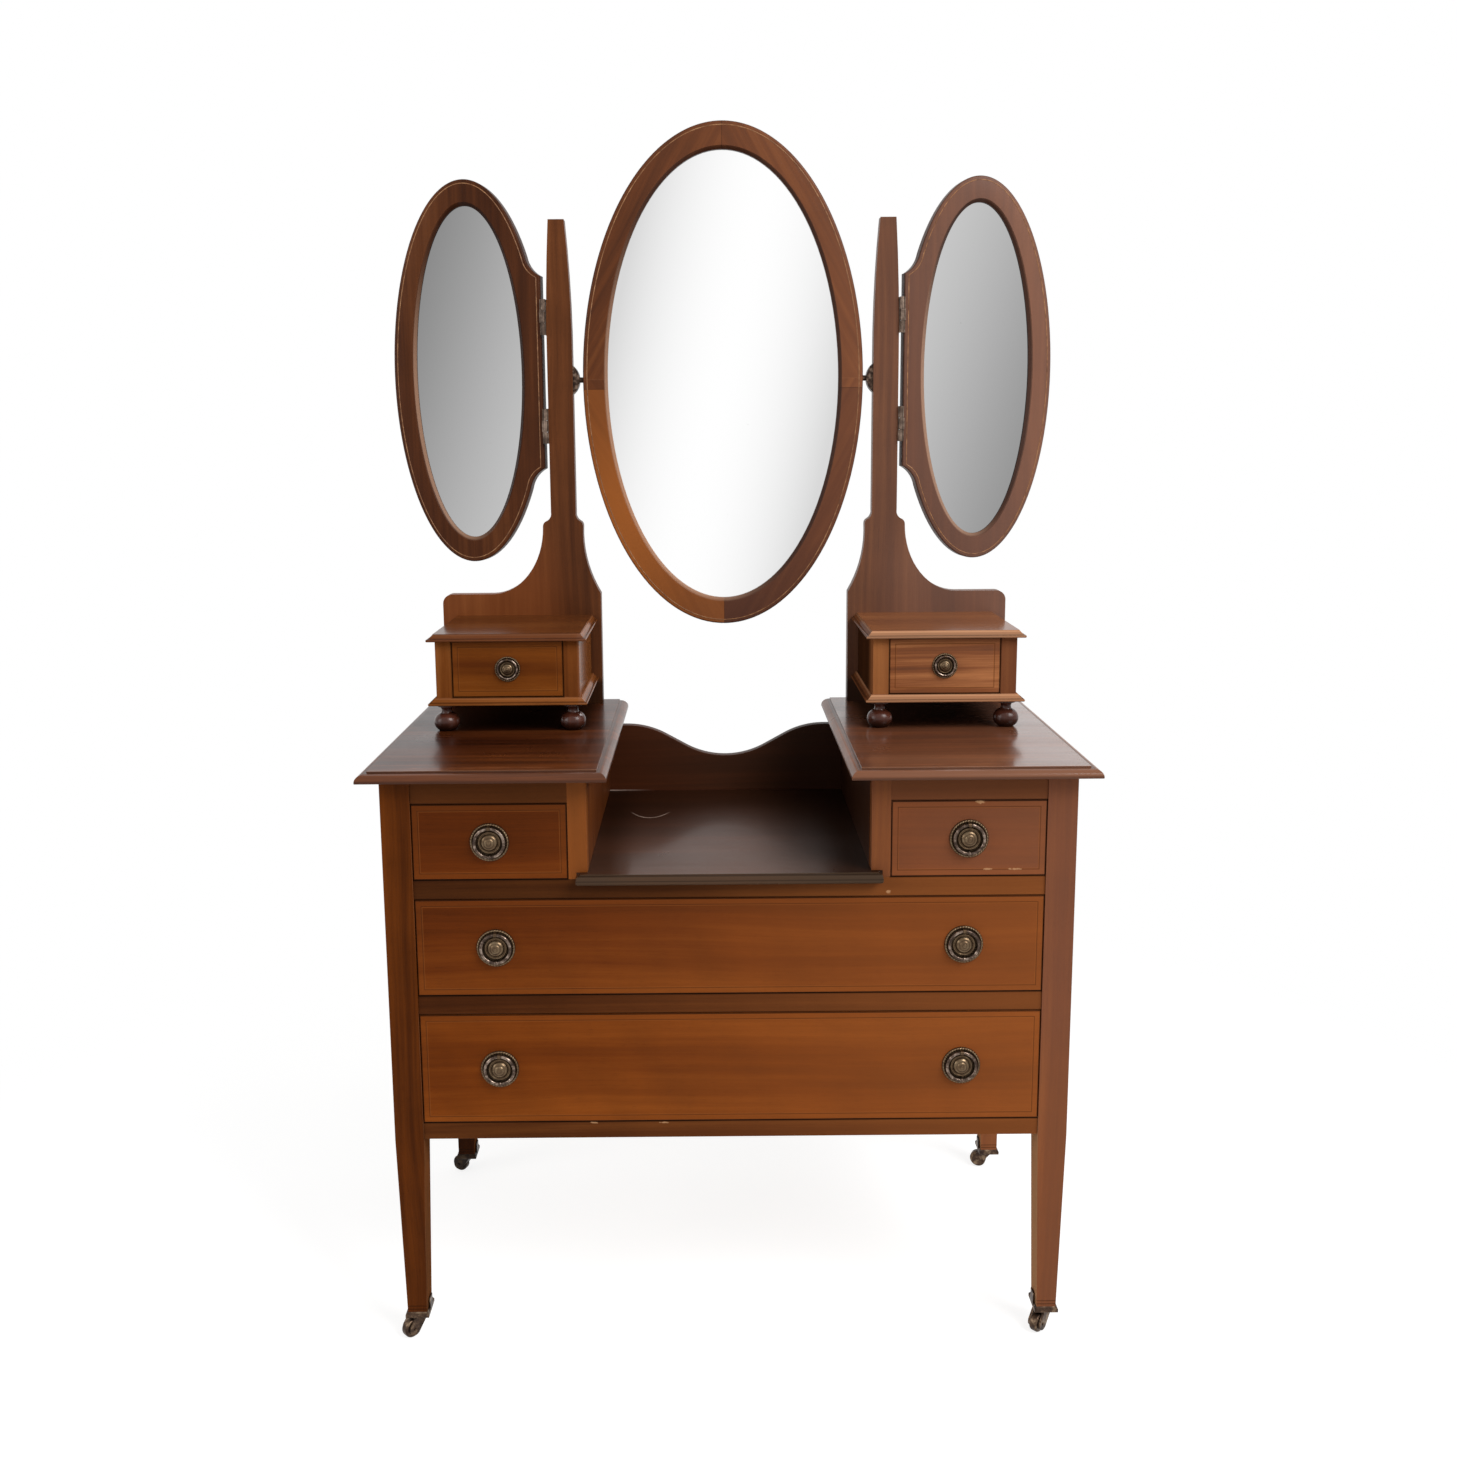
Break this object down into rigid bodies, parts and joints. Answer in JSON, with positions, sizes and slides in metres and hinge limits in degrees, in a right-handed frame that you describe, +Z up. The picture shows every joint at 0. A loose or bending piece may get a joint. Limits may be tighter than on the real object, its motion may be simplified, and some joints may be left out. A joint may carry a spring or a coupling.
{
  "type": "dressing table",
  "caption": "Mahogany dressing table with drawers, a sunk well between pedestals, small jewel boxes, brass castors, a tilting oval mirror and hinged oval side mirrors.",
  "frame": {"origin": "middle of the whole table, side mirrors included, on the floor", "axes": "+X to the right seen from the front, +Y to the back, +Z up"},
  "size_m": [0.9806, 0.4816, 1.623],
  "materials": {
    "carcass_mahogany": "polished dark mahogany",
    "polished_mahogany": "glossy polished mahogany",
    "frame_mahogany": "polished mahogany with a thin light inlaid line",
    "drawer_front_veneer": "polished orange-brown mahogany veneer",
    "drawer_lining": "plain unpolished drawer timber",
    "backing_board": "plain unpolished board",
    "silvered_glass": "plain mirror glass",
    "old_brass": "dark aged brass"
  },
  "bodies": {
    "table": {"legs": "carcass_mahogany", "side_panels": "carcass_mahogany", "back_panels": "backing_board", "front_rails": "carcass_mahogany", "drawer_runners": "drawer_lining", "well_sides": "carcass_mahogany", "well_shelf": "polished_mahogany", "splashback": "carcass_mahogany", "pedestal_tops": "polished_mahogany", "jewel_box_cases": "carcass_mahogany", "jewel_box_feet": "carcass_mahogany", "uprights": "carcass_mahogany", "mirror_pivots": "old_brass", "hinge_post_leaves": "old_brass", "castor_plates": "old_brass"},
    "bottom_drawer": {"bottom_drawer_front": "drawer_front_veneer", "bottom_drawer_box": "drawer_lining", "bottom_drawer_plates": "old_brass"},
    "bottom_left_ring": {"bottom_left_ring": "old_brass"},
    "bottom_right_ring": {"bottom_right_ring": "old_brass"},
    "middle_drawer": {"middle_drawer_front": "drawer_front_veneer", "middle_drawer_box": "drawer_lining", "middle_drawer_plates": "old_brass"},
    "middle_left_ring": {"middle_left_ring": "old_brass"},
    "middle_right_ring": {"middle_right_ring": "old_brass"},
    "short_left_drawer": {"short_left_drawer_front": "drawer_front_veneer", "short_left_drawer_box": "drawer_lining", "short_left_drawer_plates": "old_brass"},
    "short_left_ring": {"short_left_ring": "old_brass"},
    "jewel_left_drawer": {"jewel_left_drawer_front": "drawer_front_veneer", "jewel_left_drawer_box": "drawer_lining", "jewel_left_drawer_plates": "old_brass"},
    "jewel_left_ring": {"jewel_left_ring": "old_brass"},
    "short_right_drawer": {"short_right_drawer_front": "drawer_front_veneer", "short_right_drawer_box": "drawer_lining", "short_right_drawer_plates": "old_brass"},
    "short_right_ring": {"short_right_ring": "old_brass"},
    "jewel_right_drawer": {"jewel_right_drawer_front": "drawer_front_veneer", "jewel_right_drawer_box": "drawer_lining", "jewel_right_drawer_plates": "old_brass"},
    "jewel_right_ring": {"jewel_right_ring": "old_brass"},
    "centre_mirror": {"centre_mirror_frame": "frame_mahogany", "centre_mirror_glass": "silvered_glass", "centre_mirror_back": "backing_board"},
    "left_mirror": {"left_mirror_frame": "frame_mahogany", "left_mirror_glass": "silvered_glass", "left_mirror_back": "backing_board", "left_mirror_leaves": "old_brass"},
    "right_mirror": {"right_mirror_frame": "frame_mahogany", "right_mirror_glass": "silvered_glass", "right_mirror_back": "backing_board", "right_mirror_leaves": "old_brass"},
    "front_left_castor": {"front_left_castor_horn": "old_brass"},
    "front_left_wheel": {"front_left_castor_wheel": "old_brass"},
    "front_right_castor": {"front_right_castor_horn": "old_brass"},
    "front_right_wheel": {"front_right_castor_wheel": "old_brass"},
    "rear_left_castor": {"rear_left_castor_horn": "old_brass"},
    "rear_left_wheel": {"rear_left_castor_wheel": "old_brass"},
    "rear_right_castor": {"rear_right_castor_horn": "old_brass"},
    "rear_right_wheel": {"rear_right_castor_wheel": "old_brass"}
  },
  "joints": [
    {"name": "bottom_drawer_slide", "type": "slide", "parent": "table", "child": "bottom_drawer", "axis": [0, -1, 0], "range_m": [0, 0.26]},
    {"name": "bottom_left_ring_swing", "type": "hinge", "parent": "bottom_drawer", "child": "bottom_left_ring", "pos_m": [-0.295, -0.21978, 0.39875], "axis": [-1, 0, 0], "range_deg": [0, 85]},
    {"name": "bottom_right_ring_swing", "type": "hinge", "parent": "bottom_drawer", "child": "bottom_right_ring", "pos_m": [0.295, -0.21978, 0.39875], "axis": [-1, 0, 0], "range_deg": [0, 85]},
    {"name": "middle_drawer_slide", "type": "slide", "parent": "table", "child": "middle_drawer", "axis": [0, -1, 0], "range_m": [0, 0.26]},
    {"name": "middle_left_ring_swing", "type": "hinge", "parent": "middle_drawer", "child": "middle_left_ring", "pos_m": [-0.295, -0.21978, 0.56115], "axis": [-1, 0, 0], "range_deg": [0, 85]},
    {"name": "middle_right_ring_swing", "type": "hinge", "parent": "middle_drawer", "child": "middle_right_ring", "pos_m": [0.295, -0.21978, 0.56115], "axis": [-1, 0, 0], "range_deg": [0, 85]},
    {"name": "short_left_drawer_slide", "type": "slide", "parent": "table", "child": "short_left_drawer", "axis": [0, -1, 0], "range_m": [0, 0.26]},
    {"name": "short_left_ring_swing", "type": "hinge", "parent": "short_left_drawer", "child": "short_left_ring", "pos_m": [-0.2987, -0.21978, 0.6992], "axis": [-1, 0, 0], "range_deg": [0, 85]},
    {"name": "jewel_left_drawer_slide", "type": "slide", "parent": "table", "child": "jewel_left_drawer", "axis": [0, -1, 0], "range_m": [0, 0.11]},
    {"name": "jewel_left_ring_swing", "type": "hinge", "parent": "jewel_left_drawer", "child": "jewel_left_ring", "pos_m": [-0.3013, -0.00638, 0.87575], "axis": [-1, 0, 0], "range_deg": [0, 85]},
    {"name": "short_right_drawer_slide", "type": "slide", "parent": "table", "child": "short_right_drawer", "axis": [0, -1, 0], "range_m": [0, 0.26]},
    {"name": "short_right_ring_swing", "type": "hinge", "parent": "short_right_drawer", "child": "short_right_ring", "pos_m": [0.2987, -0.21978, 0.6992], "axis": [-1, 0, 0], "range_deg": [0, 85]},
    {"name": "jewel_right_drawer_slide", "type": "slide", "parent": "table", "child": "jewel_right_drawer", "axis": [0, -1, 0], "range_m": [0, 0.11]},
    {"name": "jewel_right_ring_swing", "type": "hinge", "parent": "jewel_right_drawer", "child": "jewel_right_ring", "pos_m": [0.3013, -0.00638, 0.87575], "axis": [-1, 0, 0], "range_deg": [0, 85]},
    {"name": "centre_mirror_tilt", "type": "hinge", "parent": "table", "child": "centre_mirror", "pos_m": [0, 0.19772, 1.26], "axis": [1, 0, 0], "range_deg": [-25, 25]},
    {"name": "left_mirror_swing", "type": "hinge", "parent": "table", "child": "left_mirror", "pos_m": [-0.262, 0.18522, 1.27], "axis": [0, 0, 1], "range_deg": [-5, 110]},
    {"name": "right_mirror_swing", "type": "hinge", "parent": "table", "child": "right_mirror", "pos_m": [0.262, 0.18522, 1.27], "axis": [0, 0, -1], "range_deg": [-5, 110]},
    {"name": "front_left_castor_swivel", "type": "hinge", "parent": "table", "child": "front_left_castor", "pos_m": [-0.4155, -0.19578, 0.0357], "axis": [0, 0, 1], "continuous": true},
    {"name": "front_left_wheel_roll", "type": "hinge", "parent": "front_left_castor", "child": "front_left_wheel", "pos_m": [-0.42523, -0.20585, 0.0125], "axis": [0.7193, -0.6947, 0], "continuous": true},
    {"name": "front_right_castor_swivel", "type": "hinge", "parent": "table", "child": "front_right_castor", "pos_m": [0.4155, -0.19578, 0.0357], "axis": [0, 0, 1], "continuous": true},
    {"name": "front_right_wheel_roll", "type": "hinge", "parent": "front_right_castor", "child": "front_right_wheel", "pos_m": [0.40577, -0.20585, 0.0125], "axis": [0.7193, -0.6947, 0], "continuous": true},
    {"name": "rear_left_castor_swivel", "type": "hinge", "parent": "table", "child": "rear_left_castor", "pos_m": [-0.4205, 0.20322, 0.0357], "axis": [0, 0, 1], "continuous": true},
    {"name": "rear_left_wheel_roll", "type": "hinge", "parent": "rear_left_castor", "child": "rear_left_wheel", "pos_m": [-0.43319, 0.20914, 0.0125], "axis": [-0.4226, -0.9063, 0], "continuous": true},
    {"name": "rear_right_castor_swivel", "type": "hinge", "parent": "table", "child": "rear_right_castor", "pos_m": [0.4205, 0.20322, 0.0357], "axis": [0, 0, 1], "continuous": true},
    {"name": "rear_right_wheel_roll", "type": "hinge", "parent": "rear_right_castor", "child": "rear_right_wheel", "pos_m": [0.40781, 0.20914, 0.0125], "axis": [-0.4226, -0.9063, 0], "continuous": true}
  ]
}
